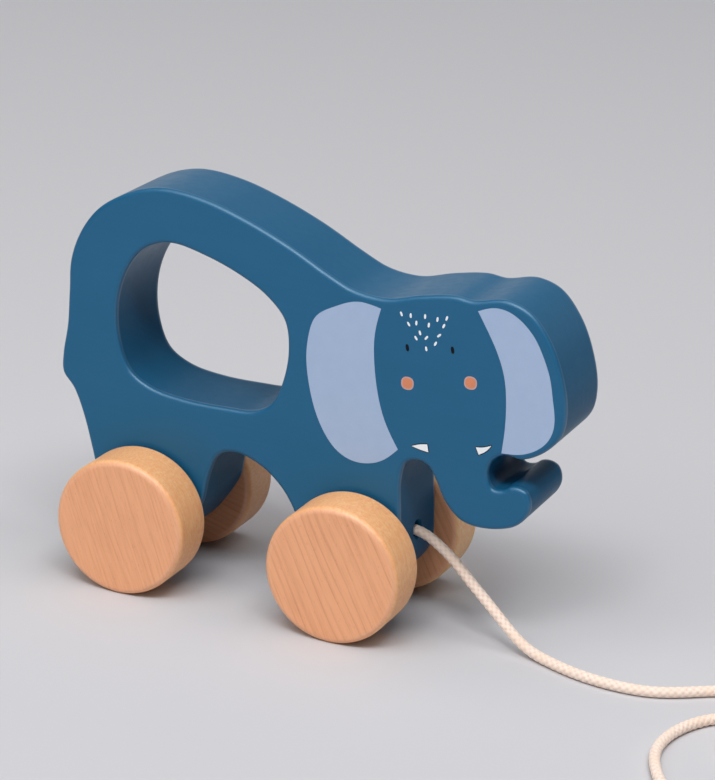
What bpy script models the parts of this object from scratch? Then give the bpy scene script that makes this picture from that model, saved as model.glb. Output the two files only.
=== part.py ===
"""A wooden pull-along elephant: a painted slab body on two free-turning wheelsets, with a pull cord.

Metres, +Z up, +X towards the head. The floor is z = 0, and y = 0 is the middle of the slab.
"""

import math

import bmesh
import bpy
import numpy as np
from mathutils import Vector

MM = 0.001
GAP = 0.3 * MM  # between pieces that touch on the real toy

# The slab that the elephant is sawn from
SLAB_THICKNESS = 30 * MM
EDGE_RADIUS = 1.3 * MM
EDGE_STEPS = 2
SPAN_STEPS = 4  # straight pieces between two outline points

# Wheels and axles
WHEEL_RADIUS = 22.5 * MM
WHEEL_THICKNESS = 18 * MM
WHEEL_EDGE = 2 * MM
WHEEL_SIDES = 48
WHEEL_GAP = 1 * MM  # from the slab's face to the wheel's inner face
AXLE_X = {"rear": -53.8 * MM, "front": 20.4 * MM}
AXLE_RADIUS = 3.5 * MM
AXLE_BORE_RADIUS = 3.9 * MM
AXLE_CHAMFER = 0.5 * MM
AXLE_SIDES = 24
WHEEL_BORE_DEPTH = 13 * MM
SIDES = {"near": -1, "far": 1}

# The pull cord and what is on it
CORD_DIAMETER = 3.5 * MM
CORD_HOLE_RADIUS = 2.5 * MM
CORD_HOLE_DEPTH = 20 * MM
CORD_HOLE_Z = 30.2 * MM
CORD_HOLE_MOUTH_X = 35 * MM  # on the front leg's front edge
CORD_HOLE_BEVEL = 1 * MM
COIL_CENTRE = (170.9 * MM, -36 * MM)
COIL_RADIUS = 17.5 * MM  # at the middle of its turns
COIL_LIFT = 0.1 * MM
COIL_SIDES = 40
BEAD_RADIUS = 10 * MM
BEAD_HOLE_RADIUS = 2.6 * MM
BEAD_FLAT = 3.6 * MM  # radius of the flat round each end of the bead's hole
BEAD_CENTRE = (168.3 * MM, 7 * MM, 10.2 * MM)
BEAD_AXIS = Vector((-0.5, 0.866, -0.06)).normalized()  # the way the cord runs through it
KNOT_RADIUS = 4.3 * MM
KNOT_LENGTH = 8 * MM
KNOT_EDGE = 3 * MM
KNOT_END_LENGTH = 8 * MM

# The body's outline in millimetres, x and z, once round from the rump over the back
BACK = [(-50.7, 130.8), (-37.6, 129.5), (-23.6, 125.6), (-8.4, 119.7), (5.6, 112.9), (14.4, 109.4)]
CROWN = [(25.3, 108.6), (36.2, 111.5), (47.3, 113.5), (53.8, 113.1)]
EAR = [(63.8, 115.1), (71.9, 112.7), (78.9, 105.0), (83.6, 95.0), (86.1, 84.0), (85.1, 75.6),
       (80.1, 69.4), (73.5, 65.9), (67.3, 66.1)]
TRUNK = [(63.6, 63.3), (62.6, 58.6), (64.6, 54.6), (67.9, 54.7), (70.2, 56.2), (72.8, 56.6),
         (75.5, 55.6), (76.9, 53.3), (77.2, 50.4), (75.7, 46.7), (71.8, 43.2), (62.3, 40.9),
         (54.9, 42.0), (49.2, 47.1), (45.6, 53.6), (42.7, 57.6), (39.0, 58.6)]
FRONT_LEG = [(35.3, 56.9), (33.8, 51.0), (34.3, 41.0), (35.1, 31.0), (35.1, 21.5), (31.8, 15.0),
             (24.8, 10.4), (16.3, 10.4), (8.3, 14.5), (2.8, 23.0), (-1.5, 33.0)]
BELLY = [(-6.4, 40.0), (-13.8, 45.7), (-22.7, 48.4), (-28.7, 46.5), (-31.9, 39.0)]
REAR_LEG = [(-33.9, 29.0), (-38.3, 21.0), (-44.2, 13.8), (-50.7, 10.4), (-59.2, 10.8), (-65.7, 16.5),
            (-70.5, 25.8), (-74.3, 39.2), (-78.1, 51.1), (-81.7, 58.9)]
RUMP = [(-85.7, 63.8), (-86.0, 70.0), (-84.7, 80.0), (-84.4, 92.0), (-84.1, 102.1), (-80.9, 111.8),
        (-75.1, 120.1), (-67.2, 125.8), (-58.9, 129.4)]
BODY_OUTLINE = BACK + CROWN + EAR + TRUNK + FRONT_LEG + BELLY + REAR_LEG + RUMP

HANDLE_HOLE = [(-47.7, 113.5), (-36.8, 111.5), (-24.9, 107.5), (-14.9, 102.2), (-8.3, 95.4),
               (-6.5, 86.0), (-7.8, 75.6), (-11.2, 67.4), (-16.8, 63.8), (-28.7, 62.7), (-42.7, 62.7),
               (-54.0, 64.5), (-61.7, 69.0), (-66.0, 78.6), (-67.0, 90.0), (-64.6, 100.6),
               (-59.5, 108.8), (-53.9, 112.3)]

# The cord's route in millimetres: from the bottom of its hole to the coil, and from the coil to the knot
CORD_ROUTE = [(15.4, 0.0, 29.8), (25.0, 0.0, 29.8), (33.0, 0.0, 29.7), (37.0, -0.3, 29.2),
              (41.0, -0.9, 27.8), (45.0, -1.6, 25.7), (49.8, -2.6, 22.7), (55.0, -3.9, 18.7),
              (60.3, -5.3, 14.8), (66.0, -7.0, 10.8), (71.8, -8.9, 6.8), (76.8, -10.6, 4.0),
              (81.8, -12.3, 2.4), (86.8, -14.2, 1.9), (92.0, -16.3, 1.8),
              (98.5, -18.4, 1.8), (106.5, -19.8, 1.8), (114.0, -20.0, 1.8), (121.0, -18.9, 1.8),
              (127.5, -16.0, 1.8), (133.5, -11.9, 1.8), (139.5, -7.6, 1.8), (145.8, -4.6, 1.8),
              (152.6, -5.0, 1.8), (157.6, -9.6, 1.8), (157.6, -16.2, 1.8), (152.8, -21.2, 1.8),
              (146.8, -25.4, 1.8), (142.2, -30.6, 1.8), (139.0, -36.8, 1.8), (137.0, -43.4, 1.8),
              (136.2, -50.2, 1.8), (136.6, -57.0, 1.8), (138.4, -63.6, 1.8), (141.2, -70.0, 1.8),
              (145.0, -76.2, 1.8), (150.4, -80.6, 1.8), (157.0, -82.0, 1.8), (163.6, -80.2, 1.8),
              (169.4, -75.4, 1.8), (173.8, -69.2, 1.8), (177.6, -62.9, 1.8), (181.1, -56.8, 1.8)]
TAIL_ROUTE = [(181.2, -15.4, 5.4), (178.6, -10.9, 6.5), (175.8, -6.1, 8.9), (172.9, -1.0, 10.7),
              (168.3, 7.0, 10.2), (163.7, 14.9, 9.6)]


def clear_scene():
    for thing in list(bpy.data.objects):
        bpy.data.objects.remove(thing, do_unlink=True)


def material(name, colour, roughness):
    made = bpy.data.materials.new(name)
    made.use_nodes = True
    shader = made.node_tree.nodes["Principled BSDF"]
    shader.inputs["Base Color"].default_value = (*colour, 1.0)
    shader.inputs["Roughness"].default_value = roughness
    shader.inputs["Metallic"].default_value = 0.0
    return made


def add_object(name, mesh, finish):
    for polygon in mesh.polygons:
        polygon.use_smooth = True
    mesh.set_sharp_from_angle(angle=math.radians(30))
    made = bpy.data.objects.new(name, mesh)
    bpy.context.scene.collection.objects.link(made)
    mesh.materials.append(finish)
    return made


def mesh_from(bm, name):
    bmesh.ops.recalc_face_normals(bm, faces=bm.faces)
    mesh = bpy.data.meshes.new(name)
    bm.to_mesh(mesh)
    bm.free()
    return mesh


def smooth_loop(points, steps):
    """A closed centripetal Catmull-Rom curve through the points, with this many steps between two of them."""
    points = np.array(points, float)
    made = []
    for i in range(len(points)):
        a, b, c, d = (points[(i + k) % len(points)] for k in (-1, 0, 1, 2))
        before, here, after = (math.sqrt(np.linalg.norm(q - p)) for p, q in ((a, b), (b, c), (c, d)))
        leave = (c - b) - here * (c - a) / (before + here) + here * (b - a) / before
        arrive = (c - b) - here * (d - b) / (here + after) + here * (d - c) / after
        for t in np.arange(steps) / steps:
            made.append(
                (2 * t**3 - 3 * t**2 + 1) * b
                + (t**3 - 2 * t**2 + t) * leave
                + (3 * t**2 - 2 * t**3) * c
                + (t**3 - t**2) * arrive
            )
    return np.array(made)


def with_material_on_left(loop, is_hole):
    following = np.roll(loop, -1, axis=0)
    area = np.sum(loop[:, 0] * following[:, 1] - following[:, 0] * loop[:, 1]) / 2
    return loop[::-1] if (area > 0) == is_hole else loop


def inset(loop, distance):
    along = np.roll(loop, -1, axis=0) - np.roll(loop, 1, axis=0)
    along /= np.linalg.norm(along, axis=1)[:, None]
    return loop + distance * np.column_stack((-along[:, 1], along[:, 0]))


def slab_mesh(name, outlines):
    """A slab with rounded edges: the first outline is its outside, the others are holes through it."""
    bm = bmesh.new()
    half = SLAB_THICKNESS / 2
    quarter = [k * math.pi / 2 / EDGE_STEPS for k in range(EDGE_STEPS + 1)]
    rounded = [
        (EDGE_RADIUS * (1 - math.cos(a)), half - EDGE_RADIUS * (1 - math.sin(a))) for a in quarter[::-1]
    ]
    levels = [(distance, -y) for distance, y in rounded] + rounded[::-1]
    rims = {0: [], len(levels) - 1: []}
    for number, outline in enumerate(outlines):
        loop = with_material_on_left(np.array(outline) * MM, is_hole=number > 0)
        rings = [
            [bm.verts.new((x, y, z)) for x, z in inset(loop, distance)] for distance, y in levels
        ]
        for lower, upper in zip(rings, rings[1:]):
            for i in range(len(lower)):
                j = (i + 1) % len(lower)
                bm.faces.new((lower[i], lower[j], upper[j], upper[i]))
        for level, rim in rims.items():
            ring = rings[level]
            rim += [bm.edges.get((ring[i - 1], ring[i])) for i in range(len(ring))]
    for rim in rims.values():
        bmesh.ops.triangle_fill(bm, use_beauty=True, edges=rim)
    return mesh_from(bm, name)


def turned_mesh(name, profile, sides, axis, closed=False):
    """A solid turned round an axis through its origin. The profile holds (radius, place along the axis).

    An open profile starts and ends on the axis. Radii reach the flats between the corners, and one flat
    faces straight down when the axis is level.
    """
    bm = bmesh.new()
    axis = Vector(axis).normalized()
    down = Vector((0, 0, -1)) if abs(axis.z) < 0.9 else Vector((1, 0, 0))
    down = (down - down.dot(axis) * axis).normalized()
    across = axis.cross(down)
    stretch = 1 / math.cos(math.pi / sides)
    rings = []
    for radius, place in profile:
        if radius == 0:
            rings.append([bm.verts.new(axis * place)])
            continue
        turns = [(k + 0.5) * 2 * math.pi / sides for k in range(sides)]
        rings.append([
            bm.verts.new(axis * place + radius * stretch * (math.cos(t) * down + math.sin(t) * across))
            for t in turns
        ])
    pairs = list(zip(rings, rings[1:])) + ([(rings[-1], rings[0])] if closed else [])
    for first, second in pairs:
        for i in range(sides):
            j = (i + 1) % sides
            corners = [ring[k % len(ring)] for ring, k in ((first, i), (first, j), (second, j), (second, i))]
            bm.faces.new(list(dict.fromkeys(corners)))
    return mesh_from(bm, name)


def rounded_corner(radius, place, edge, turn_from, turn_to, steps=3):
    """Points of a quarter round about (radius, place), in the (radius, place) plane."""
    angles = np.radians(np.linspace(turn_from, turn_to, steps + 1))
    return [(radius + edge * math.cos(a), place + edge * math.sin(a)) for a in angles]


def cut(target, mesh, name, location=(0, 0, 0)):
    cutter = bpy.data.objects.new(name, mesh)
    bpy.context.scene.collection.objects.link(cutter)
    cutter.location = location
    cutter.hide_render = True
    cutter.display_type = "WIRE"
    modifier = target.modifiers.new(name, "BOOLEAN")
    modifier.operation = "DIFFERENCE"
    modifier.object = cutter


def make_body(paint):
    outlines = [smooth_loop(points, SPAN_STEPS) for points in (BODY_OUTLINE, HANDLE_HOLE)]
    body = add_object("body", slab_mesh("body", outlines), paint)
    reach = SLAB_THICKNESS / 2 + WHEEL_GAP / 2
    bore = [(0, -reach), (AXLE_BORE_RADIUS, -reach), (AXLE_BORE_RADIUS, reach), (0, reach)]
    for end, x in AXLE_X.items():
        mesh = turned_mesh(f"{end}_axle_bore", bore, AXLE_SIDES, (0, 1, 0))
        cut(body, mesh, f"{end}_axle_bore", (x, 0, WHEEL_RADIUS))
    hole = [
        (0, -CORD_HOLE_DEPTH),
        (CORD_HOLE_RADIUS, -CORD_HOLE_DEPTH),
        (CORD_HOLE_RADIUS, -CORD_HOLE_BEVEL),
        (CORD_HOLE_RADIUS + 2 * CORD_HOLE_BEVEL, CORD_HOLE_BEVEL),
        (0, CORD_HOLE_BEVEL),
    ]
    mesh = turned_mesh("cord_hole", hole, AXLE_SIDES, (1, 0, 0))
    cut(body, mesh, "cord_hole", (CORD_HOLE_MOUTH_X, 0, CORD_HOLE_Z))
    return body


def wheel_profile(side):
    inner = SLAB_THICKNESS / 2 + WHEEL_GAP
    outer = inner + WHEEL_THICKNESS
    bore = AXLE_RADIUS + GAP
    rim = WHEEL_RADIUS - WHEEL_EDGE
    profile = [(0, inner + WHEEL_BORE_DEPTH), (bore, inner + WHEEL_BORE_DEPTH), (bore, inner)]
    profile += rounded_corner(rim, inner + WHEEL_EDGE, WHEEL_EDGE, -90, 0)
    profile += rounded_corner(rim, outer - WHEEL_EDGE, WHEEL_EDGE, 0, 90)
    profile += [(0, outer)]
    return [(radius, side * place) for radius, place in profile]


def make_wheelset(end, beech, dowel):
    """An axle that turns in the body, with a wheel glued on each end of it."""
    hub = bpy.data.objects.new(f"{end}_wheelset", None)
    bpy.context.scene.collection.objects.link(hub)
    hub.location = (AXLE_X[end], 0, WHEEL_RADIUS)
    half = SLAB_THICKNESS / 2 + WHEEL_GAP + WHEEL_BORE_DEPTH - GAP
    profile = [(0, -half), (AXLE_RADIUS - AXLE_CHAMFER, -half), (AXLE_RADIUS, -half + AXLE_CHAMFER)]
    profile += [(radius, -place) for radius, place in profile[::-1]]
    pieces = [add_object(f"{end}_axle", turned_mesh(f"{end}_axle", profile, AXLE_SIDES, (0, 1, 0)), dowel)]
    for side, sign in SIDES.items():
        name = f"{end}_wheel_{side}"
        pieces.append(add_object(name, turned_mesh(name, wheel_profile(sign), WHEEL_SIDES, (0, 1, 0)), beech))
    for piece in pieces:
        piece.parent = hub


def smooth_route(points, spacing):
    """Points about this far apart on the natural cubic spline through an open route."""
    points = np.array(points, float)
    at = np.append(0, np.cumsum(np.linalg.norm(np.diff(points, axis=0), axis=1)))
    step = np.diff(at)
    slope = np.diff(points, axis=0) / step[:, None]
    system = np.eye(len(points))
    target = np.zeros_like(points)
    for i in range(1, len(points) - 1):
        system[i, i - 1 : i + 2] = step[i - 1], 2 * (step[i - 1] + step[i]), step[i]
        target[i] = 6 * (slope[i] - slope[i - 1])
    bend = np.linalg.solve(system, target)
    wanted = np.linspace(0, at[-1], round(at[-1] / spacing) + 1)
    span = np.clip(np.searchsorted(at, wanted, side="right") - 1, 0, len(step) - 1)
    past = (wanted - at[span])[:, None]
    left = (at[span + 1] - wanted)[:, None]
    long = step[span][:, None]
    return (
        (bend[span] * left**3 + bend[span + 1] * past**3) / (6 * long)
        + (points[span] / long - bend[span] * long / 6) * left
        + (points[span + 1] / long - bend[span + 1] * long / 6) * past
    )


def make_cord(name, route, cotton):
    curve = bpy.data.curves.new(name, "CURVE")
    curve.dimensions = "3D"
    curve.bevel_depth = CORD_DIAMETER / 2
    curve.bevel_resolution = 2
    curve.use_fill_caps = True
    path = smooth_route(np.array(route) * MM, 2 * CORD_DIAMETER)
    spline = curve.splines.new("POLY")
    spline.points.add(len(path) - 1)
    for point, place in zip(spline.points, path):
        point.co = (*place, 1)
    spline.use_smooth = True
    cord = bpy.data.objects.new(name, curve)
    bpy.context.scene.collection.objects.link(cord)
    curve.materials.append(cotton)


def make_coil(cotton):
    """The outer shape of the coil: two layers of two turns, lying on the floor."""
    half = CORD_DIAMETER
    edge = CORD_DIAMETER / 2
    profile = []
    for quarter, (across, up) in enumerate(((1, 1), (-1, 1), (-1, -1), (1, -1))):
        centre = (COIL_RADIUS + across * (half - edge), up * (half - edge))
        profile += rounded_corner(*centre, edge, 90 * quarter, 90 * quarter + 90)
    mesh = turned_mesh("cord_coil", profile, COIL_SIDES, (0, 0, 1), closed=True)
    coil = add_object("cord_coil", mesh, cotton)
    coil.location = (*COIL_CENTRE, CORD_DIAMETER + COIL_LIFT)


def make_bead(beech):
    """A drilled ball that the cord runs through."""
    start = math.asin(BEAD_FLAT / BEAD_RADIUS)
    angles = np.linspace(start, math.pi - start, 13)
    ball = [(BEAD_RADIUS * math.sin(a), -BEAD_RADIUS * math.cos(a)) for a in angles]
    flat = BEAD_RADIUS * math.cos(start)
    profile = [(BEAD_HOLE_RADIUS, -flat), *ball, (BEAD_HOLE_RADIUS, flat)]
    mesh = turned_mesh("pull_bead", profile, AXLE_SIDES, BEAD_AXIS, closed=True)
    bead = add_object("pull_bead", mesh, beech)
    bead.location = BEAD_CENTRE


def make_end_knot(cotton):
    """The knot that keeps the bead on, with the short end that stands out of it."""
    start = BEAD_RADIUS * math.cos(math.asin(BEAD_FLAT / BEAD_RADIUS)) + GAP
    rim = KNOT_RADIUS - KNOT_EDGE
    thin = CORD_DIAMETER / 2
    far = start + KNOT_LENGTH
    outer = rounded_corner(rim, far - KNOT_EDGE, KNOT_EDGE, 0, 90)
    profile = [(0, start)]
    profile += rounded_corner(rim, start + KNOT_EDGE, KNOT_EDGE, -90, 0)
    profile += [point for point in outer if point[0] > thin]
    profile += [(thin, far), (thin, far + KNOT_END_LENGTH), (0, far + KNOT_END_LENGTH)]
    knot = add_object("end_knot", turned_mesh("end_knot", profile, AXLE_SIDES, BEAD_AXIS), cotton)
    knot.location = BEAD_CENTRE


def main():
    clear_scene()
    paint = material("blue_paint", (0.026, 0.122, 0.242), 0.38)
    beech = material("beech", (0.78, 0.47, 0.26), 0.55)
    dowel = material("beech_dowel", (0.72, 0.44, 0.25), 0.6)
    cotton = material("cotton_cord", (0.82, 0.64, 0.5), 0.9)
    make_body(paint)
    for end in AXLE_X:
        make_wheelset(end, beech, dowel)
    make_cord("pull_cord", CORD_ROUTE, cotton)
    make_coil(cotton)
    make_cord("cord_tail", TAIL_ROUTE, cotton)
    make_bead(beech)
    make_end_knot(cotton)


main()
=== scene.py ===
import math

import bmesh
import bpy
import numpy as np
from mathutils import Matrix, Vector


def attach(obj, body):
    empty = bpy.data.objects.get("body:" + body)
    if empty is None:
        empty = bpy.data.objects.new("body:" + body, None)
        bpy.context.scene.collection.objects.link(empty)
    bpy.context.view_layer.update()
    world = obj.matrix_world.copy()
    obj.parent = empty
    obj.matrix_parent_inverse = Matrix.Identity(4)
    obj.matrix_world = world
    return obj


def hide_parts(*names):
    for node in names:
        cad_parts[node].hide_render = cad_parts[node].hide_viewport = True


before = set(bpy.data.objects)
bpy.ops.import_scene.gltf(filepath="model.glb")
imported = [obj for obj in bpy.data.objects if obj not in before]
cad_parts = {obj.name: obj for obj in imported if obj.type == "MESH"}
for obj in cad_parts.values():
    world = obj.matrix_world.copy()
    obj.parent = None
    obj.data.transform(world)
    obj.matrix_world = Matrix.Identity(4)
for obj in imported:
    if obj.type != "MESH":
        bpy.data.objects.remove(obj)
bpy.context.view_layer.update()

MM = 0.001

# The camera: where it stands, which way it turns, and its lens
CAMERA_AT = (0.35718, -0.82623, 0.38733)
CAMERA_YAW, CAMERA_PITCH, CAMERA_ROLL = 0.396059, 0.338474, 0.0615718  # radians
CAMERA_LENS, CAMERA_SENSOR = 139.0, 36.0

# The slab
SLAB_THICKNESS = 30 * MM
EDGE_RADIUS = 1.3 * MM
EDGE_STEPS = 6
EDGE_MARGIN = 0.5 * MM  # a narrow strip beside a rounded edge, which keeps the flats' shading flat
OUTLINE_STEPS = 3  # of a smooth curve between each two corners of the CAD outline
AXLE_BORE_RADIUS = 3.9 * MM
BORE_SIDES = 48

# Wheels and axles
WHEEL_RADIUS = 22.5 * MM
WHEEL_THICKNESS = 18 * MM
WHEEL_EDGE = 2 * MM
WHEEL_EDGE_STEPS = 8
WHEEL_GAP = 1 * MM
WHEEL_SIDES = 160
AXLE_X = {"rear": -53.8 * MM, "front": 20.4 * MM}
AXLE_RADIUS = 3.5 * MM
AXLE_SIDES = 64
WHEEL_BORE_DEPTH = 13 * MM
WHEEL_BORE_LIP = 0.4 * MM
WHEEL_CLEARANCE = 0.3 * MM  # round the axle in a wheel's bore, and at the bore's end
SIDES = {"near": -1, "far": 1}

# The cord, in millimetres until its mesh is made
CORD_DIAMETER = 3.5
CORD_HOLE_AT = (35.0, 0.0, 30.2)
CORD_HOLE_RADIUS, CORD_HOLE_DEPTH = 2.5, 20
CORD_CLEARS_FLOOR = 0.03
CORD_ROUTE = [(15.4, 0.0, 29.8), (25.0, 0.0, 29.8), (33.0, 0.0, 29.7), (37.0, -0.3, 29.2),
              (41.0, -0.9, 27.8), (45.0, -1.6, 25.7), (49.8, -2.6, 22.7), (55.0, -3.9, 18.7),
              (60.3, -5.3, 14.8), (66.0, -7.0, 10.8), (71.8, -8.9, 6.8), (76.8, -10.6, 4.0),
              (81.8, -12.3, 2.4), (86.8, -14.2, 1.9), (92.0, -16.3, 1.8),
              (98.5, -18.4, 1.8), (106.5, -19.8, 1.8), (114.0, -20.0, 1.8), (121.0, -18.9, 1.8),
              (127.5, -16.0, 1.8), (133.5, -11.9, 1.8), (139.5, -7.6, 1.8), (145.8, -4.6, 1.8),
              (152.6, -5.0, 1.8), (157.6, -9.6, 1.8), (157.6, -16.2, 1.8), (152.8, -21.2, 1.8),
              (146.8, -25.4, 1.8), (142.2, -30.6, 1.8), (139.0, -36.8, 1.8), (137.0, -43.4, 1.8),
              (136.2, -50.2, 1.8), (136.6, -57.0, 1.8), (138.4, -63.6, 1.8), (141.2, -70.0, 1.8),
              (145.0, -76.2, 1.8), (150.4, -80.6, 1.8), (157.0, -82.0, 1.8), (163.6, -80.2, 1.8),
              (169.4, -75.4, 1.8), (173.8, -69.2, 1.8), (177.6, -62.9, 1.8), (181.1, -56.8, 1.8)]
TAIL_ROUTE = [(181.2, -15.4, 5.4), (178.6, -10.9, 6.5), (175.8, -6.1, 8.9), (172.9, -1.0, 10.7),
              (168.3, 7.0, 10.2), (163.7, 14.9, 9.6)]
COIL_CENTRE = (170.9, -36.0)
COIL_OUTER, COIL_INNER = 19.25, 15.75  # centrelines of the two turns that lie on the floor
COIL_FLOOR = 1.85
# The coil's angles, in degrees. The turns run anticlockwise from above
COIL_STARTS_AT = -30  # round from +X
COIL_TURN, COIL_STEP = 780, 15  # in all, and between two points
SECOND_TURN, THIRD_TURN = 360, 720
MOVES_IN_FROM, MOVES_IN_TO = 300, 355  # in each turn
CLIMBS_FROM = 630
# How the upper turn leans on a lower one, in degrees up from its outside
INSIDE, OVER_GROOVE_FROM_INNER, OVER_GROOVE_FROM_OUTER, ON_TOP = 180, 60, 120, 90
STRANDS = 4  # in each direction of the braid
BRAID_PITCH = 9.4
BRAID_SIDES = 32
BRAID_STEP = 0.26
STRAND_ROUND, STRAND_OVER = 0.32, 0.14  # how far a strand bulges, and rises to cross another

# The bead and the knot at the cord's end
BEAD_RADIUS = 10 * MM
BEAD_HOLE_RADIUS = 2.6 * MM
BEAD_FLAT, BEAD_LIP = 3.6 * MM, 0.5 * MM
BEAD_SIDES, BEAD_ROWS = 96, 49
BEAD_CENTRE = (168.3 * MM, 7 * MM, 10.2 * MM)
BEAD_AXIS = Vector((-0.5, 0.866, -0.06)).normalized()
KNOT_FROM = 9.6  # the bead's outer face, in millimetres from its centre
KNOT_CORD_RADIUS, KNOT_PITCH = 1.5, 8.0  # the cord is pulled thinner there
KNOT_RADIUS, KNOT_RISE, KNOT_POINTS = 2.45, 4.3, 13
KNOT_STARTS_AT, KNOT_STEP = -10, 45  # degrees

# The printed face, millimetres x and z on the slab's face. A corner ends each list
LEFT_EAR = [
    [(24.1, 105.4), (16.2, 106.2), (8.3, 103.1), (2.5, 98.9), (0.5, 93.0), (0.1, 85.0), (1.3, 77.3),
     (3.6, 69.5), (7.7, 61.5), (12.3, 56.6), (17.4, 54.4), (22.8, 54.5), (27.6, 56.4), (32.7, 61.1)],
    [(32.7, 61.1), (28.0, 68.9), (24.8, 77.9), (22.9, 88.5), (22.6, 97.1), (24.1, 105.4)],
]
RIGHT_EAR = [
    [(66.7, 66.9), (71.9, 67.4), (77.5, 69.8), (81.3, 73.7), (82.6, 77.1), (82.8, 81.0), (81.8, 86.7),
     (80.3, 93.5), (77.8, 99.6), (74.6, 105.1), (70.3, 109.4), (65.4, 112.0), (60.8, 112.3),
     (55.7, 110.4)],
    [(55.7, 110.4), (59.7, 104.1), (63.4, 97.4), (65.9, 90.4), (67.0, 82.6), (67.2, 74.5),
     (66.7, 66.9)],
]
LEFT_TUSK = [
    [(37.2, 63.2), (39.6, 64.2), (42.3, 64.8)],
    [(42.3, 64.8), (42.9, 62.3)],
    [(42.9, 62.3), (40.2, 62.6), (37.2, 63.2)],
]
RIGHT_TUSK = [
    [(58.3, 67.1), (60.9, 67.6), (63.3, 68.6)],
    [(63.3, 68.6), (61.8, 66.6), (59.4, 64.9)],
    [(59.4, 64.9), (58.3, 67.1)],
]
EYES = [(33.6, 94.6, 14), (48.4, 96.6, 14)]  # x, z and lean in degrees
EYE_SIZE = (1.1, 2.3)
CHEEKS = [(34.4, 83.2), (55.0, 87.3)]
CHEEK_RADIUS, CHEEK_RIM = 1.65, 0.45
HAIRS = [(30.9, 105.0, 25), (34.0, 105.0, 5), (38.7, 105.6, 0), (42.8, 105.4, -5), (45.8, 106.3, -15),
         (33.5, 102.2, 35), (36.0, 103.0, 0), (40.1, 103.1, -5), (45.0, 103.7, -20), (37.4, 100.1, 20),
         (36.2, 98.2, 35), (39.6, 98.9, -35), (43.7, 100.4, -45), (42.7, 97.6, -25), (39.8, 95.4, 15)]
HAIR_SIZE = (0.7, 1.55)
TUSK_EDGE = 0.28  # how far its dark edge shows round a tusk
PRINT_STEP = 0.35  # between two points of an outline
PRINT_LIFT = 0.03 * MM  # each layer of print over the one under it

# Colours, each from one tone to another. END_GRAIN is for the wheels' rims. An ink has a roughness too
BEECH = (0.86, 0.415, 0.216), (0.64, 0.265, 0.126)
END_GRAIN = (1.0, 0.57, 0.245), (0.92, 0.4, 0.145)
DOWEL = (0.8, 0.5, 0.29), (0.6, 0.34, 0.19)
# COTTON's second colour is painted shade, for the low places between the braid's strands
COTTON = (0.98, 0.82, 0.71), (0.72, 0.44, 0.31)
BLUE = (0.009, 0.103, 0.217), (0.011, 0.111, 0.232)
INKS = {
    "lilac": ((0.36, 0.465, 0.65), (0.375, 0.48, 0.665), 0.45),
    "white": ((0.86, 0.88, 0.9), (0.82, 0.85, 0.88), 0.45),
    "coral": ((0.71, 0.26, 0.135), (0.64, 0.24, 0.13), 0.45),
    "rose": ((0.58, 0.37, 0.33), (0.55, 0.35, 0.32), 0.45),
    "black": ((0.002, 0.003, 0.008), (0.003, 0.005, 0.011), 0.6),
}

# Each piece's wood: ring spacing, lean, pith and contrast, as wood() takes them, then a wheel's tone,
# which on the far wheels is painted light and shade: the far front wheel is painted lighter, as if lit
# more, and the far rear one darker, as if in shade
BEAD_GRAIN = 2.6, 40, (30, 10), 0.8
DOWEL_GRAIN = 2.2, 0, (30, 10), 0.5
WHEEL_GRAINS = {
    ("front", "near"): (2.3, 28, (70, 25), 0.7, 1.0),
    ("rear", "near"): (1.3, 21, (90, 40), 0.4, 1.0),
    ("front", "far"): (2.4, 30, (60, 20), 0.8, 1.2),
    ("rear", "far"): (2.0, 75, (80, 15), 0.7, 0.8),
}

# Where looks change, in millimetres: from a wheel's axle, and from the middle of the slab's thickness
FACE_ENDS, RIM_STARTS = 20.3, (21.6, 22.3)
SAWN_ENDS, FLAT_STARTS = (12.8, 13.8), (14.6, 14.95)

# The stage, in metres, and its lights: each one's place, target, size, watts and colour
FLOOR_RADIUS, FLOOR_COLOUR = 4, (0.58, 0.576, 0.6)
WORLD_COLOUR, WORLD_STRENGTH = (0.8, 0.9, 1.0), 0.015
TOY, NEUTRAL = (0, 0, 0.05), (1.0, 1.0, 1.0)
LIGHTS = {
    "softbox": ((-0.9, -1.8, 2.4), TOY, (2.2, 2.2), 34, NEUTRAL),
    "highlight": ((0.6, -1.5, 2.6), TOY, (1.8, 0.6), 45, NEUTRAL),
    "top_softbox": ((0.3, 0, 2.8), TOY, (2.4, 2.4), 29, NEUTRAL),
    "front_softbox": ((-0.8, -3.2, 0.9), TOY, (2.4, 1.4), 14, NEUTRAL),
    "right_softbox": ((1.4, 0, 2.3), TOY, (1.4, 1.4), 10, NEUTRAL),
    "back_card": ((-0.6, 2.6, 0.8), (0, 0, 0.3), (5, 1.6), 17, (0.95, 0.98, 1.0)),
}


# ---- curves and meshes ----

def smooth_route(points, spacing):
    """Points about this far apart on the natural cubic spline through an open route."""
    points = np.array(points, float)
    at = np.append(0, np.cumsum(np.linalg.norm(np.diff(points, axis=0), axis=1)))
    step = np.diff(at)
    slope = np.diff(points, axis=0) / step[:, None]
    system = np.eye(len(points))
    target = np.zeros_like(points)
    for i in range(1, len(points) - 1):
        system[i, i - 1 : i + 2] = step[i - 1], 2 * (step[i - 1] + step[i]), step[i]
        target[i] = 6 * (slope[i] - slope[i - 1])
    bend = np.linalg.solve(system, target)
    wanted = np.linspace(0, at[-1], round(at[-1] / spacing) + 1)
    span = np.clip(np.searchsorted(at, wanted, side="right") - 1, 0, len(step) - 1)
    past = (wanted - at[span])[:, None]
    left = (at[span + 1] - wanted)[:, None]
    long = step[span][:, None]
    return (
        (bend[span] * left**3 + bend[span + 1] * past**3) / (6 * long)
        + (points[span] / long - bend[span] * long / 6) * left
        + (points[span + 1] / long - bend[span + 1] * long / 6) * past
    )


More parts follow.
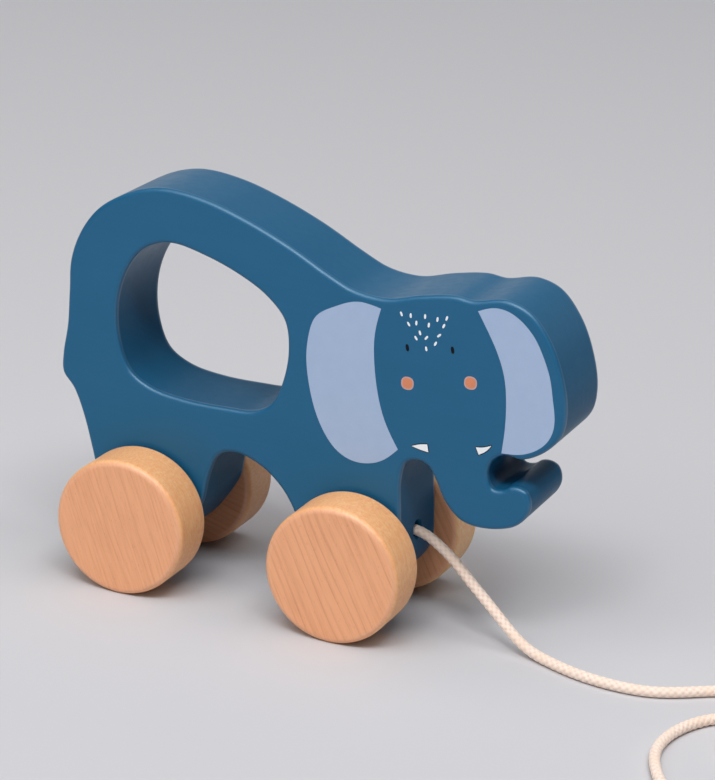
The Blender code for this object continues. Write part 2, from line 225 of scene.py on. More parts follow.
def smooth_loop(points, steps):
    """A closed centripetal Catmull-Rom curve through the points, with steps between each two."""
    points = np.array(points, float)
    made = []
    for i in range(len(points)):
        a, b, c, d = (points[(i + k) % len(points)] for k in (-1, 0, 1, 2))
        before, here, after = (math.sqrt(np.linalg.norm(q - p)) for p, q in ((a, b), (b, c), (c, d)))
        leave = (c - b) - here * (c - a) / (before + here) + here * (b - a) / before
        arrive = (c - b) - here * (d - b) / (here + after) + here * (d - c) / after
        for t in np.arange(steps) / steps:
            made.append(
                (2 * t**3 - 3 * t**2 + 1) * b
                + (t**3 - 2 * t**2 + t) * leave
                + (3 * t**2 - 2 * t**3) * c
                + (t**3 - t**2) * arrive
            )
    return np.array(made)


def add_object(name, mesh, finish, location=(0, 0, 0)):
    made = bpy.data.objects.new(name, mesh)
    bpy.context.scene.collection.objects.link(made)
    made.location = location
    if finish:
        mesh.materials.append(finish)
    return made


def mesh_from(bm, name):
    bmesh.ops.recalc_face_normals(bm, faces=bm.faces)
    mesh = bpy.data.meshes.new(name)
    bm.to_mesh(mesh)
    bm.free()
    return mesh


def shade_smooth(mesh, sharp_from):
    """Smooth shading, but for edges that turn by more than this many degrees."""
    for polygon in mesh.polygons:
        polygon.use_smooth = True
    mesh.set_sharp_from_angle(angle=math.radians(sharp_from))


def turned_mesh(name, profile, sides, axis, closed=False):
    """A solid turned round an axis through its origin. The profile holds (radius, place along it)."""
    bm = bmesh.new()
    axis = Vector(axis).normalized()
    down = Vector((0, 0, -1)) if abs(axis.z) < 0.9 else Vector((1, 0, 0))
    down = (down - down.dot(axis) * axis).normalized()
    across = axis.cross(down)
    rings = []
    for radius, place in profile:
        if radius == 0:
            rings.append([bm.verts.new(axis * place)])
            continue
        turns = [k * 2 * math.pi / sides for k in range(sides)]
        rings.append([
            bm.verts.new(axis * place + radius * (math.cos(t) * down + math.sin(t) * across))
            for t in turns
        ])
    pairs = list(zip(rings, rings[1:])) + ([(rings[-1], rings[0])] if closed else [])
    for first, second in pairs:
        for i in range(sides):
            j = (i + 1) % sides
            around = (first, i), (first, j), (second, j), (second, i)
            bm.faces.new(list(dict.fromkeys(ring[k % len(ring)] for ring, k in around)))
    return mesh_from(bm, name)


def rounded_corner(radius, place, edge, turn_from, turn_to, steps):
    angles = np.radians(np.linspace(turn_from, turn_to, steps + 1))
    return [(radius + edge * math.cos(a), place + edge * math.sin(a)) for a in angles]


def inset(loop, distance):
    along = np.roll(loop, -1, axis=0) - np.roll(loop, 1, axis=0)
    along /= np.linalg.norm(along, axis=1)[:, None]
    return loop + distance * np.column_stack((-along[:, 1], along[:, 0]))


def area_of(loop):
    following = np.roll(loop, -1, axis=0)
    return np.sum(loop[:, 0] * following[:, 1] - following[:, 0] * loop[:, 1]) / 2


# ---- materials ----

class Finish:
    """A procedural material on one Principled shader. Its textures read the object's millimetres."""

    def __init__(self, name, **settings):
        self.material = bpy.data.materials.new(name)
        self.material.use_nodes = True
        self.tree = self.material.node_tree
        self.shader = self.tree.nodes["Principled BSDF"]
        for socket, value in settings.items():
            self.shader.inputs[socket.replace("_", " ")].default_value = value

    def add(self, kind, inputs=(), out=0, **settings):
        made = self.tree.nodes.new("ShaderNode" + kind)
        for key, value in settings.items():
            setattr(made, key, value)
        for key, value in dict(inputs).items():
            if isinstance(value, bpy.types.NodeSocket):
                self.tree.links.new(value, made.inputs[key])
            else:
                made.inputs[key].default_value = value
        return made.outputs[out]

    def math(self, operation, a, b=0.0):
        return self.add("Math", {0: a, 1: b}, operation=operation)

    def place(self):
        return self.scaled(self.add("TexCoord", out="Object"), 1 / MM)

    def scaled(self, vector, by):
        return self.add("VectorMath", {0: vector, "Scale": by}, operation="SCALE")

    def split(self, vector):
        return tuple(self.add("SeparateXYZ", {0: vector}).node.outputs)

    def distance(self, a, b):
        squares = [self.math("POWER", side, 2.0) for side in (a, b)]
        return self.math("SQRT", self.math("ADD", *squares))

    def moved(self, vector, rotation=(0, 0, 0), scale=(1, 1, 1), location=(0, 0, 0)):
        inputs = {"Vector": vector, "Rotation": rotation, "Scale": scale, "Location": location}
        return self.add("Mapping", inputs)

    def noise(self, vector, scale, detail=2.0, roughness=0.5, out="Factor"):
        inputs = {"Vector": vector, "Scale": scale, "Detail": detail, "Roughness": roughness}
        return self.add("TexNoise", inputs, {"Factor": 0, "Color": 1}[out])

    def ramp(self, value, stops):
        made = self.add("ValToRGB", {"Fac": value})
        elements = made.node.color_ramp.elements
        while len(elements) < len(stops):
            elements.new(0.5)
        for element, (at, colour) in zip(elements, stops):
            element.position = at
            element.color = (*colour, 1) if hasattr(colour, "__len__") else (colour, colour, colour, 1)
        return made

    def range(self, value, low, high, to_low, to_high):
        return self.add("MapRange", {0: value, 1: low, 2: high, 3: to_low, 4: to_high})

    def mix(self, factor, a, b, blend="MIX"):
        made = self.add("Mix", data_type="RGBA", blend_type=blend, out=2).node
        for index, value in ((0, factor), (6, a), (7, b)):
            if isinstance(value, bpy.types.NodeSocket):
                self.tree.links.new(value, made.inputs[index])
            else:
                made.inputs[index].default_value = (*value, 1) if hasattr(value, "__len__") else value
        return made.outputs[2]

    def wire(self, socket, value):
        self.tree.links.new(value, self.shader.inputs[socket])

    def bump(self, height, strength, distance):
        inputs = {"Height": height, "Strength": strength, "Distance": distance * MM}
        self.wire("Normal", self.add("Bump", inputs))


def wood(name, light, dark, spacing, lean, pith, contrast, seed, tone=1.0):
    """Beech. The growth rings are cylinders about a line along the grain, which lies in the XZ plane.

    spacing is from ring to ring and pith is the rings' centre, across the grain and along Y, both in
    millimetres. lean is the grain's angle from +Z in degrees. The seed moves the textures. A tone
    over 1 is lighter wood, and under 1 darker: on the far wheels this is painted light and painted
    shade. The distance from a wheel's axle tells its face from its rim, where the rings hardly show.
    """
    # painted light and shade: the tone lightens or darkens the whole piece, the far front wheel as if
    # lit more and the far rear one as if in shade
    light, dark, end_light, end_dark = (
        tuple(min(c * tone, 1) for c in colour) for colour in (light, dark, *END_GRAIN)
    )
    finish = Finish(name, Specular_IOR_Level=0.45, Coat_Weight=0.06, Coat_Roughness=0.35)
    shift = seed * 37.0
    own = finish.place()
    place = finish.moved(own, rotation=(0, math.radians(lean), 0), location=(shift, 0, seed * 11.0))
    x, _, z = finish.split(own)
    from_axle = finish.distance(x, z)
    on_rim = finish.range(from_axle, *RIM_STARTS, 0.0, 1.0)
    on_face = finish.range(from_axle, FACE_ENDS, 22, 1.0, 0.3)

    # the rings
    drift = finish.noise(finish.moved(place, scale=(1, 1, 0.25)), 0.045, detail=2, out="Color")
    drift = finish.add("VectorMath", {0: drift, 1: (0.5, 0.5, 0.5)}, operation="SUBTRACT")
    warped = finish.add("VectorMath", {0: place, 1: finish.scaled(drift, 7.0)}, operation="ADD")
    across, deep, _ = finish.split(warped)
    across = finish.math("SUBTRACT", across, pith[0] + shift)
    deep = finish.math("SUBTRACT", deep, pith[1])
    rings = finish.math("DIVIDE", finish.distance(across, deep), spacing)
    uneven = finish.noise(finish.add("CombineXYZ", {0: rings}), 0.9, detail=1)
    rings = finish.math("ADD", rings, finish.math("MULTIPLY", uneven, 1.6))
    season = [(0.0, 0.75), (0.07, 0.1), (0.45, 0.0), (0.8, 0.3), (0.94, 1.0), (1.0, 0.75)]
    late = finish.ramp(finish.math("FRACT", rings), season)
    count = finish.add("CombineXYZ", {0: finish.math("FLOOR", rings), 1: seed * 1.0})
    each = finish.add("TexWhiteNoise", {"Vector": count}, noise_dimensions="3D")
    strength = finish.range(each, 0.0, 1.0, 0.35 * contrast, contrast)
    ring_shade = finish.math("MULTIPLY", finish.math("MULTIPLY", late, strength), on_face)

    # streaks and clouds on the faces, pores on the rims
    streak = finish.noise(finish.moved(place, scale=(1.6, 1.6, 0.09)), 1.0, detail=4, roughness=0.65)
    cloud = finish.noise(finish.moved(place, scale=(0.09, 0.09, 0.02)), 1.0, detail=2)
    shade = finish.math("ADD", ring_shade, finish.range(streak, 0.3, 0.7, -0.22, 0.3))
    shade = finish.math("ADD", shade, finish.range(cloud, 0.3, 0.7, -0.1, 0.16))
    body = finish.ramp(shade, [(0.0, light), (1.0, dark)])
    pores = finish.noise(finish.moved(place, scale=(1.1, 0.5, 0.35)), 1.0, detail=3, roughness=0.7)
    pores = finish.range(finish.math("ADD", streak, pores), 0.8, 1.2, 0.0, 1.0)
    end_grain = finish.ramp(pores, [(0.0, end_light), (1.0, end_dark)])
    body = finish.mix(finish.math("MULTIPLY", on_rim, 0.8), body, end_grain)

    # rays: short brown flecks along the grain
    cells = finish.moved(place, scale=(2.1, 2.1, 0.42))
    cells = finish.add("TexVoronoi", {"Vector": cells, "Scale": 1.0})
    fleck = finish.range(cells, 0.06, 0.2, finish.range(on_rim, 0.0, 1.0, 0.5, 0.8), 0.0)
    some = finish.noise(finish.moved(place, scale=(0.8, 0.8, 0.3)), 1.0, detail=1)
    fleck = finish.math("MULTIPLY", fleck, finish.range(some, 0.42, 0.6, 0.0, 1.0))
    brown = tuple(c * k for c, k in zip(dark, (0.62, 0.5, 0.42)))
    finish.wire("Base Color", finish.mix(fleck, body, brown))

    finish.wire("Roughness", finish.range(streak, 0.3, 0.7, 0.42, 0.58))
    finish.wire("Specular IOR Level", finish.range(from_axle, FACE_ENDS, 21, 0.4, 1.0))
    finish.bump(finish.math("ADD", finish.math("MULTIPLY", streak, 0.6), ring_shade), 0.25, 0.05)
    return finish.material


def paint(name, colour, second):
    """Satin paint on wood: nearly even, with a faint orange peel and the grain just showing through.

    How far a point is from the middle of the slab's thickness tells the sawn edges from the rounded
    ones and the flats. The rounded edges shine most. The sawn ones shine least, and less low down.
    The sawn ones are also painted darker, more so low down: painted shade.
    """
    finish = Finish(name, Specular_IOR_Level=0.3, Specular_Tint=(0.72, 0.9, 1.0, 1.0))
    place = finish.place()
    _, y, height = finish.split(place)
    deep = finish.math("ABSOLUTE", y)

    sawn_gloss = finish.range(height, 85, 105, 0.045, 0.13)
    gloss = finish.range(deep, *SAWN_ENDS, sawn_gloss, 1.0)
    gloss = finish.math("SUBTRACT", gloss, finish.range(deep, *FLAT_STARTS, 0.0, 0.6))
    finish.wire("Specular IOR Level", gloss)

    cloud = finish.noise(finish.moved(place, scale=(0.03, 0.03, 0.05)), 1.0, detail=3)
    grain = finish.noise(finish.moved(place, scale=(0.05, 0.9, 0.9)), 1.0, detail=3, roughness=0.6)
    tone = finish.range(cloud, 0.3, 0.7, 0.0, 0.6)
    tone = finish.math("ADD", tone, finish.range(grain, 0.3, 0.7, 0.0, 0.4))
    # painted shade: the sawn edges are painted darker, and darker still low down, for the shade they
    # stand in
    painted_wall_shade = finish.range(height, 80, 105, 0.82, 0.9)
    shade = finish.range(deep, 13.0, 14.2, painted_wall_shade, 1.0)
    shade = finish.add("CombineXYZ", {0: shade, 1: shade, 2: shade})
    finish.wire("Base Color", finish.mix(1.0, finish.mix(tone, colour, second), shade, "MULTIPLY"))

    rough = finish.range(finish.noise(place, 0.35, detail=3), 0.3, 0.7, 0.31, 0.37)
    edge = finish.range(deep, 13.2, 13.8, 0.0, 0.08)
    edge = finish.math("SUBTRACT", edge, finish.range(deep, *FLAT_STARTS, 0.0, 0.08))
    finish.wire("Roughness", finish.math("ADD", rough, edge))
    peel = finish.noise(place, 1.1, detail=2)
    finish.bump(finish.math("ADD", finish.math("MULTIPLY", peel, 0.7), grain), 0.06, 0.05)
    return finish.material


def print_ink(name, colour, second, roughness):
    """Printed paint: flat, with a little mottling where the pad pressed unevenly."""
    finish = Finish(name, Specular_IOR_Level=0.15)
    place = finish.place()
    mottle = finish.noise(place, 0.25, detail=4, roughness=0.6)
    finish.wire("Base Color", finish.mix(finish.range(mottle, 0.35, 0.65, 0.0, 1.0), colour, second))
    finish.wire("Roughness", finish.range(mottle, 0.3, 0.7, roughness - 0.05, roughness + 0.06))
    finish.bump(finish.noise(place, 2.0, detail=2), 0.08, 0.03)
    return finish.material


def cotton(name, light, shadow):
    """Braided cotton. The mesh has each point's height in the braid, and place across its strand."""
    finish = Finish(
        name, Roughness=0.95, Specular_IOR_Level=0.15, Sheen_Weight=0.25, Sheen_Roughness=0.6
    )
    height = finish.add("Attribute", attribute_name="braid_height", out="Fac")
    across = finish.add("Attribute", attribute_name="braid_across", out="Fac")
    place = finish.place()
    blotch = finish.noise(place, 0.12, detail=2)
    fibre = finish.noise(place, 5.0, detail=3, roughness=0.7)
    yarn = finish.math("SINE", finish.math("MULTIPLY", across, 2 * math.pi * STRANDS))
    fuzz = finish.range(fibre, 0.3, 0.7, -0.12, 0.12)
    level = finish.math("ADD", finish.range(height, 0.0, 0.55, 0.0, 1.0), fuzz)
    level = finish.math("ADD", level, finish.math("MULTIPLY", yarn, 0.05))
    # painted shade: low in the braid, between the strands, the colour goes to the shadow colour
    colour = finish.mix(level, shadow, light)
    warm = tuple(c * k for c, k in zip(light, (0.95, 0.86, 0.78)))
    finish.wire("Base Color", finish.mix(finish.range(blotch, 0.4, 0.7, 0.0, 0.6), colour, warm))
    finish.bump(finish.math("ADD", finish.math("MULTIPLY", yarn, 0.5), fibre), 0.5, 0.08)
    return finish.material


# ---- the camera ----

def make_camera():
    data = bpy.data.cameras.new("camera")
    data.lens, data.sensor_width = CAMERA_LENS, CAMERA_SENSOR
    data.clip_start, data.clip_end = 0.05, 20
    camera = bpy.data.objects.new("camera", data)
    bpy.context.scene.collection.objects.link(camera)
    level = math.cos(CAMERA_PITCH)
    ahead = -math.sin(CAMERA_YAW) * level, math.cos(CAMERA_YAW) * level
    look = Vector((*ahead, -math.sin(CAMERA_PITCH)))
    right = look.cross(Vector((0, 0, 1))).normalized()
    up = right.cross(look)
    x = right * math.cos(CAMERA_ROLL) + up * math.sin(CAMERA_ROLL)
    y = -right * math.sin(CAMERA_ROLL) + up * math.cos(CAMERA_ROLL)
    turn = Matrix((x, y, -look)).transposed()
    camera.matrix_world = Matrix.Translation(CAMERA_AT) @ turn.to_4x4()
    bpy.context.scene.camera = camera


# ---- the cord ----

def eased(value, start, end):
    """0 before the start, 1 after the end, and a gentle S between the two."""
    share = max(0, min(1, (value - start) / (end - start)))
    return share * share * (3 - 2 * share)


def leaning_on(radius, lean):
    """The radius and height of cord that leans this many degrees up from a floor turn's outside."""
    lean = math.radians(lean)
    return radius + CORD_DIAMETER * math.cos(lean), COIL_FLOOR + CORD_DIAMETER * math.sin(lean)


def coil_points():
    """The coil's turns: outer on the floor, inner on the floor, then up over both and out."""
    made = []
    for turned in np.arange(0, COIL_TURN + 1, COIL_STEP):
        first = turned if turned <= SECOND_TURN else turned - SECOND_TURN
        beside = COIL_OUTER - CORD_DIAMETER * eased(first, MOVES_IN_FROM, MOVES_IN_TO)
        radius, height = beside, COIL_FLOOR
        if turned > SECOND_TURN:
            radius = COIL_INNER
        if turned > CLIMBS_FROM:  # up over the turn that moves in here, to the groove behind it
            share = eased(turned, CLIMBS_FROM, THIRD_TURN)
            lean = INSIDE + (OVER_GROOVE_FROM_INNER - INSIDE) * share
            radius, height = leaning_on(beside, lean)
        if turned > THIRD_TURN:  # outwards, onto the outer turn
            share = (turned - THIRD_TURN) / (COIL_TURN - THIRD_TURN)
            lean = OVER_GROOVE_FROM_OUTER + (ON_TOP - OVER_GROOVE_FROM_OUTER) * share
            radius, height = leaning_on(COIL_OUTER, lean)
        angle = math.radians(COIL_STARTS_AT + turned)
        x, y = COIL_CENTRE
        made.append((x + radius * math.cos(angle), y + radius * math.sin(angle), height))
    return made


def frames_along(path):
    """Two directions square to the path at each point, turning as little as they can on the way."""
    along = np.gradient(path, axis=0)
    along /= np.linalg.norm(along, axis=1)[:, None]
    side = np.cross(along[0], (0, 0, 1.0))
    if np.linalg.norm(side) < 0.1:
        side = np.cross(along[0], (1.0, 0, 0))
    sides = []
    for direction in along:
        side = side - side.dot(direction) * direction
        side /= np.linalg.norm(side)
        sides.append(side)
    sides = np.array(sides)
    return sides, np.cross(along, sides)


def braid(path, radius, pitch):
    """Heights over the core, and places across the upper strand, for each point of a braided tube."""
    far = np.append(0, np.cumsum(np.linalg.norm(np.diff(path, axis=0), axis=1)))[:, None] / pitch
    around = (np.arange(BRAID_SIDES) / BRAID_SIDES)[None, :]
    left, right = STRANDS * (around - far), STRANDS * (around + far)
    scale = radius / (CORD_DIAMETER / 2)

    def strand(own, other, sign):
        across = own - np.floor(own)
        bulge = np.sqrt(np.maximum(0, 1 - (2 * across - 1) ** 2))
        over = sign * np.sin(math.pi * (other + np.floor(own)))
        return scale * (STRAND_ROUND * bulge + STRAND_OVER * over), across

    (first, first_across), (second, second_across) = strand(left, right, 1), strand(right, left, -1)
    top = first > second
    height = np.where(top, first, second) + scale * STRAND_OVER
    return height, np.where(top, first_across, second_across)


def braided_tube(name, points, radius, finish, pitch=BRAID_PITCH):
    """A braided cord along the points, all in millimetres. Its ends are cut square."""
    path = smooth_route(points, BRAID_STEP)
    path[:, 2] = np.maximum(path[:, 2], radius + CORD_CLEARS_FLOOR)
    side, up = frames_along(path)
    height, across = braid(path, radius, pitch)
    core = radius - (STRAND_ROUND + 2 * STRAND_OVER) * radius / (CORD_DIAMETER / 2)
    reach = core + height
    turn = 2 * math.pi * np.arange(BRAID_SIDES) / BRAID_SIDES
    place = path[:, None] + reach[..., None] * (
        np.cos(turn)[None, :, None] * side[:, None] + np.sin(turn)[None, :, None] * up[:, None]
    )
    rings, sides = reach.shape
    verts = np.concatenate([place.reshape(-1, 3), path[:1], path[-1:]]) * MM
    i, j = np.meshgrid(np.arange(rings - 1), np.arange(sides), indexing="ij")
    k = (j + 1) % sides
    here, beyond = i * sides, (i + 1) * sides
    faces = np.stack((here + j, here + k, beyond + k, beyond + j), -1).reshape(-1, 4)
    around = list(zip(range(sides), [*range(1, sides), 0]))
    last = (rings - 1) * sides
    ends = [(rings * sides, b, a) for a, b in around]
    ends += [(rings * sides + 1, last + a, last + b) for a, b in around]
    faces = faces[:, ::-1].tolist() + [tuple(reversed(e)) for e in ends]
    mesh = bpy.data.meshes.new(name)
    mesh.from_pydata(verts.tolist(), [], faces)
    for label, values in (("braid_height", height), ("braid_across", across)):
        attribute = mesh.attributes.new(label, "FLOAT", "POINT")
        attribute.data.foreach_set("value", np.append(values.ravel(), (0, 0)).astype(np.float32))
    shade_smooth(mesh, sharp_from=75)
    return add_object(name, mesh, finish), path * MM


def make_cord(finish):
    route = CORD_ROUTE + coil_points() + TAIL_ROUTE
    cord, path = braided_tube("pull_cord_braid", route, CORD_DIAMETER / 2, finish)
    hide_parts("pull_cord", "cord_coil", "cord_tail")
    return cord, path


def knot_route():
    """The knot, in millimetres: out of the bead along its axis, once and a half round it, and on."""
    start = KNOT_FROM
    made = [(0, 0, start - 1.5), (0.3, 0, start + 0.2), (1.6, -0.4, start + 1.4)]
    for k in range(KNOT_POINTS):
        turn = math.radians(KNOT_STARTS_AT + KNOT_STEP * k)
        around = KNOT_RADIUS * math.cos(turn), KNOT_RADIUS * math.sin(turn)
        made.append((*around, start + 1.9 + KNOT_RISE * k / (KNOT_POINTS - 1)))
    made += [(0.5, -1.2, start + 7.0), (0.0, -0.2, start + 8.6), (0.1, 0.2, start + 11.0)]
    made.append((0.2, 0.5, start + 13.0))
    return made


def along_bead(points):
    """Points given about the bead's axis, in the row frame, all in millimetres."""
    side = BEAD_AXIS.cross(Vector((0, 0, 1))).normalized()
    up = side.cross(BEAD_AXIS)
    centre = Vector(BEAD_CENTRE) / MM
    return [centre + p[0] * side + p[1] * up + p[2] * BEAD_AXIS for p in points]


def make_knot(finish):
    route = [tuple(p) for p in along_bead(knot_route())]
    knot, _ = braided_tube("end_knot_tied", route, KNOT_CORD_RADIUS, finish, pitch=KNOT_PITCH)
    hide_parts("end_knot")
    return knot


# ---- the toy ----

def slab_rings():
    """The outline, then the handle hole, from the CAD body's corners where its rounding starts."""
    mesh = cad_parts["body"].data
    level = -(SLAB_THICKNESS / 2 - EDGE_RADIUS)
    places = {}
    for v in mesh.vertices:
        if abs(v.co.y - level) < 1e-6:
            places[v.index] = (round(v.co.x, 6), round(v.co.z, 6))
    beside = {}
    for edge in mesh.edges:
        a, b = edge.vertices
        if a in places and b in places and places[a] != places[b]:
            beside.setdefault(places[a], set()).add(places[b])
            beside.setdefault(places[b], set()).add(places[a])
    loops = []
    while beside:
        here = min(beside)
        loop = [here]
        while True:
            following = [p for p in sorted(beside.pop(here)) if p in beside]
            if not following:
                break
            here = following[0]
            loop.append(here)
        loops.append(np.array(loop))
    return sorted(loops, key=lambda loop: -abs(area_of(loop)))


def slab_mesh(name, rings):
    """The slab with its edges rounded finely. The first ring is its outside. The others are holes."""
    bm = bmesh.new()
    half = SLAB_THICKNESS / 2
    quarter = [k * math.pi / 2 / EDGE_STEPS for k in range(EDGE_STEPS + 1)]
    levels = [(EDGE_RADIUS + EDGE_MARGIN, half)]
    levels += [
        (EDGE_RADIUS * (1 - math.cos(a)), half - EDGE_RADIUS * (1 - math.sin(a)))
        for a in quarter[::-1]
    ]
    levels.append((0, half - EDGE_RADIUS - EDGE_MARGIN))
    levels = [(distance, -y) for distance, y in levels] + levels[::-1]
    rims = {0: [], len(levels) - 1: []}
    for number, ring in enumerate(rings):
        loop = smooth_loop(ring, OUTLINE_STEPS)
        loop = loop[::-1] if (area_of(loop) > 0) == (number > 0) else loop
        rows = [[bm.verts.new((x, y, z)) for x, z in inset(loop, distance)] for distance, y in levels]
        for lower, upper in zip(rows, rows[1:]):
            for i in range(len(lower)):
                j = (i + 1) % len(lower)
                bm.faces.new((lower[i], lower[j], upper[j], upper[i]))
        for level, rim in rims.items():
            row = rows[level]
            rim += [bm.edges.get((row[i - 1], row[i])) for i in range(len(row))]
    for rim in rims.values():
        bmesh.ops.triangle_fill(bm, use_beauty=True, edges=rim)
    return mesh_from(bm, name)


def cut(target, mesh, name, location):
    """Takes the mesh out of the target for good."""
    cutter = add_object(name, mesh, None, location)
    modifier = target.modifiers.new(name, "BOOLEAN")
    modifier.operation, modifier.object, modifier.solver = "DIFFERENCE", cutter, "EXACT"
    graph = bpy.context.evaluated_depsgraph_get()
    mesh = bpy.data.meshes.new_from_object(target.evaluated_get(graph))
    target.modifiers.clear()
    target.data = mesh
    bpy.data.objects.remove(cutter)


def make_body(finish):
    body = add_object("painted_slab", slab_mesh("painted_slab", slab_rings()), finish)
    reach = SLAB_THICKNESS / 2 + WHEEL_GAP / 2
    bore = [(0, -reach), (AXLE_BORE_RADIUS, -reach), (AXLE_BORE_RADIUS, reach), (0, reach)]
    for x in AXLE_X.values():
        cut(body, turned_mesh("bore", bore, BORE_SIDES, (0, 1, 0)), "bore", (x, 0, WHEEL_RADIUS))
    radius, depth, edge = CORD_HOLE_RADIUS * MM, CORD_HOLE_DEPTH * MM, 1 * MM  # its mouth is eased
    hole = [(0, -depth), (radius, -depth), (radius, -edge), (radius + 0.3 * MM, -0.4 * MM)]
    hole += [(radius + 2 * edge, edge), (0, edge)]
    hole = turned_mesh("hole", hole, BORE_SIDES, (1, 0, 0))
    cut(body, hole, "hole", [v * MM for v in CORD_HOLE_AT])
    shade_smooth(body.data, sharp_from=30)
    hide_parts("body")
    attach(body, "chassis")


def wheel_profile():
    """Half a wheel's section, from the bottom of its bore round to the middle of its outer face."""
    outer = WHEEL_THICKNESS
    bore = AXLE_RADIUS + WHEEL_CLEARANCE
    rim = WHEEL_RADIUS - WHEEL_EDGE
    flat = WHEEL_EDGE + EDGE_MARGIN
    return [
        (0, WHEEL_BORE_DEPTH), (bore, WHEEL_BORE_DEPTH),
        (bore, WHEEL_BORE_LIP), (bore + WHEEL_BORE_LIP, 0), (rim - EDGE_MARGIN, 0),
        *rounded_corner(rim, WHEEL_EDGE, WHEEL_EDGE, -90, 0, WHEEL_EDGE_STEPS),
        (WHEEL_RADIUS, flat), (WHEEL_RADIUS, outer - flat),
        *rounded_corner(rim, outer - WHEEL_EDGE, WHEEL_EDGE, 0, 90, WHEEL_EDGE_STEPS),
        (rim - EDGE_MARGIN, outer), (rim / 2, outer), (0, outer),
    ]


def make_wheel(end, side, finish):
    sign = SIDES[side]
    name = f"{end}_wheel_{side}"
    profile = [(radius, sign * place) for radius, place in wheel_profile()]
    mesh = turned_mesh(name, profile, WHEEL_SIDES, (0, 1, 0))
    shade_smooth(mesh, sharp_from=35)
    face = sign * (SLAB_THICKNESS / 2 + WHEEL_GAP)
    wheel = add_object(f"turned_{name}", mesh, finish, (AXLE_X[end], face, WHEEL_RADIUS))
    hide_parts(name)
    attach(wheel, f"{end}_wheelset")


def make_axle(end, finish):
    half = SLAB_THICKNESS / 2 + WHEEL_GAP + WHEEL_BORE_DEPTH - WHEEL_CLEARANCE
    chamfer = 0.5 * MM
    profile = [(0, -half), (AXLE_RADIUS - chamfer, -half), (AXLE_RADIUS, -half + chamfer)]
    profile += [(radius, -place) for radius, place in profile[::-1]]
    mesh = turned_mesh(f"{end}_dowel", profile, AXLE_SIDES, (0, 1, 0))
    shade_smooth(mesh, sharp_from=35)
    axle = add_object(f"{end}_dowel", mesh, finish, (AXLE_X[end], 0, WHEEL_RADIUS))
    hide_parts(f"{end}_axle")
    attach(axle, f"{end}_wheelset")


def make_bead(finish):
    start = math.asin(BEAD_FLAT / BEAD_RADIUS)
    angles = np.linspace(start, math.pi - start, BEAD_ROWS)
    ball = [(BEAD_RADIUS * math.sin(a), -BEAD_RADIUS * math.cos(a)) for a in angles]
    flat = BEAD_RADIUS * math.cos(start)
    third = BEAD_LIP / 3
    mouth = [(BEAD_HOLE_RADIUS, flat - BEAD_LIP), (BEAD_HOLE_RADIUS + third, flat - third)]
    mouth.append((BEAD_HOLE_RADIUS + BEAD_LIP, flat))
    profile = [(r, -place) for r, place in mouth] + ball + mouth[::-1]
    mesh = turned_mesh("drilled_bead", profile, BEAD_SIDES, BEAD_AXIS, closed=True)
    shade_smooth(mesh, sharp_from=35)
    bead = add_object("drilled_bead", mesh, finish, BEAD_CENTRE)
    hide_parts("pull_bead")
    return bead


# ---- the printed face ----

def outline(pieces):
    """One closed loop from pieces that meet in corners."""
    return np.concatenate([smooth_route(points, PRINT_STEP)[:-1] for points in pieces])


def grown(loop, distance):
    return inset(loop, distance if area_of(loop) < 0 else -distance)


def stroke(x, z, width, length, lean, sides=20):
    """A short brush mark: an oval, a little squarer than an ellipse. It leans left from upright."""
    turn = np.linspace(0, 2 * math.pi, sides, endpoint=False)
    across = np.sign(np.cos(turn)) * np.abs(np.cos(turn)) ** 0.8 * width / 2
    along = np.sign(np.sin(turn)) * np.abs(np.sin(turn)) ** 0.8 * length / 2
    lean = math.radians(lean)
    return np.column_stack((
        x + across * math.cos(lean) - along * math.sin(lean),
        z + across * math.sin(lean) + along * math.cos(lean),
    ))


def print_layer(name, loops, layer, side, finish):
    """A film of ink on one face of the slab: flat patches, each a closed body."""
    bm = bmesh.new()
    out = SIDES[side]
    top = out * (SLAB_THICKNESS / 2 + layer * PRINT_LIFT)
    base = out * (SLAB_THICKNESS / 2 - PRINT_LIFT)
    for loop in loops:
        loop = np.array(loop) * MM
        rows = [[bm.verts.new((x, y, z)) for x, z in loop] for y in (base, top)]
        for i in range(len(loop)):
            j = (i + 1) % len(loop)
            bm.faces.new((rows[0][i], rows[0][j], rows[1][j], rows[1][i]))
        for row in rows:
            edges = [bm.edges.get((row[i - 1], row[i])) for i in range(len(row))]
            bmesh.ops.triangle_fill(bm, use_beauty=True, edges=edges)
    piece = add_object(f"{side}_{name}", mesh_from(bm, name), finish)
    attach(piece, "chassis")


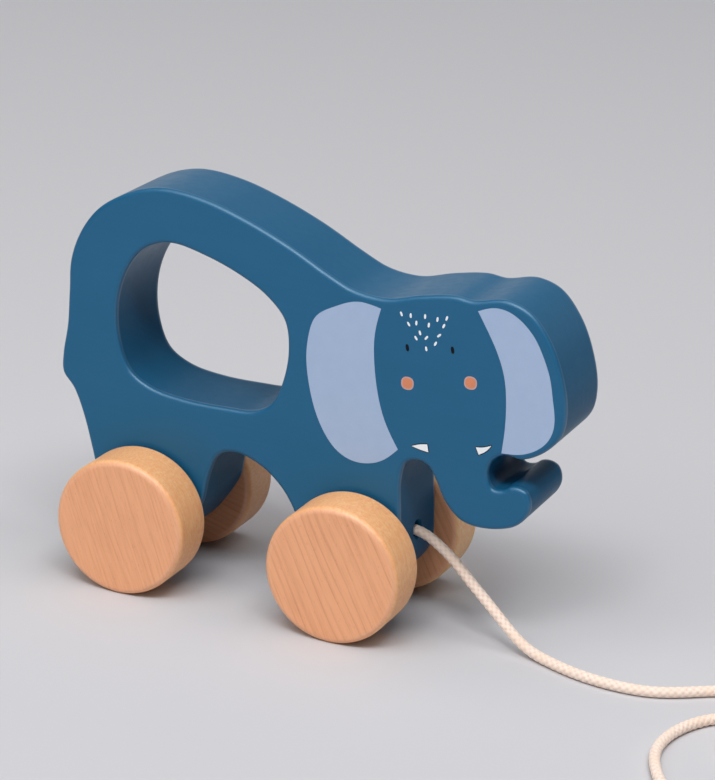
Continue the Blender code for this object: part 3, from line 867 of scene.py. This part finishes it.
def make_face(side, lilac, white, coral, rose, black):
    ears = [outline(LEFT_EAR), outline(RIGHT_EAR)]
    print_layer("ears_print", ears, 1, side, lilac)
    tusks = [outline(LEFT_TUSK), outline(RIGHT_TUSK)]
    edges = [grown(loop, TUSK_EDGE) for loop in tusks]
    print_layer("tusk_edges_print", edges, 1, side, black)
    print_layer("tusks_print", tusks, 2, side, white)
    discs = [stroke(x, z, 2 * CHEEK_RADIUS, 2 * CHEEK_RADIUS, 0, sides=48) for x, z in CHEEKS]
    rims = [grown(loop, CHEEK_RIM) for loop in discs]
    print_layer("cheek_rims_print", rims, 1, side, rose)
    print_layer("cheeks_print", discs, 2, side, coral)
    eyes = [stroke(x, z, *EYE_SIZE, lean) for x, z, lean in EYES]
    print_layer("eyes_print", eyes, 1, side, black)
    hairs = [stroke(x, z, *HAIR_SIZE, lean) for x, z, lean in HAIRS]
    print_layer("hair_print", hairs, 1, side, white)


# ---- the stage ----

def area_light(name, location, target, size, power, colour):
    """A rectangle of light that faces its target."""
    data = bpy.data.lights.new(name, "AREA")
    data.shape, data.energy, data.color = "RECTANGLE", power, colour
    data.size, data.size_y = size
    light = bpy.data.objects.new(name, data)
    bpy.context.scene.collection.objects.link(light)
    light.location = location
    light.rotation_euler = (Vector(target) - Vector(location)).to_track_quat("-Z", "Y").to_euler()


def make_stage():
    bm = bmesh.new()
    bmesh.ops.create_circle(bm, cap_ends=True, radius=FLOOR_RADIUS, segments=96)
    finish = Finish("floor", Roughness=0.7, Specular_IOR_Level=0.2, Base_Color=(*FLOOR_COLOUR, 1))
    floor = add_object("floor", mesh_from(bm, "floor"), finish.material)
    world = bpy.data.worlds.new("world")
    bpy.context.scene.world = world
    world.use_nodes = True
    background = world.node_tree.nodes["Background"]
    background.inputs["Color"].default_value = (*WORLD_COLOUR, 1)
    background.inputs["Strength"].default_value = WORLD_STRENGTH
    for name, (location, target, size, power, colour) in LIGHTS.items():
        area_light(name, location, target, size, power, colour)
    bpy.context.scene.view_settings.view_transform = "Standard"


def main():
    make_camera()
    string = cotton("cotton_cord", *COTTON)
    cord, path = make_cord(string)
    bead = make_bead(wood("bead_beech", *BEECH, *BEAD_GRAIN, seed=5))
    knot = make_knot(string)
    for piece in (cord, bead, knot):
        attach(piece, "chassis")
    make_body(paint("blue_paint", *BLUE))
    for number, ((end, side), (*grain, tone)) in enumerate(WHEEL_GRAINS.items()):
        make_wheel(end, side, wood(f"{end}_{side}_beech", *BEECH, *grain, number, tone))
    dowel = wood("beech_dowel", *DOWEL, *DOWEL_GRAIN, seed=7)
    for end in AXLE_X:
        make_axle(end, dowel)
    inks = {colour: print_ink(f"{colour}_print", *look) for colour, look in INKS.items()}
    for side in SIDES:
        make_face(side, **inks)
    make_stage()


main()
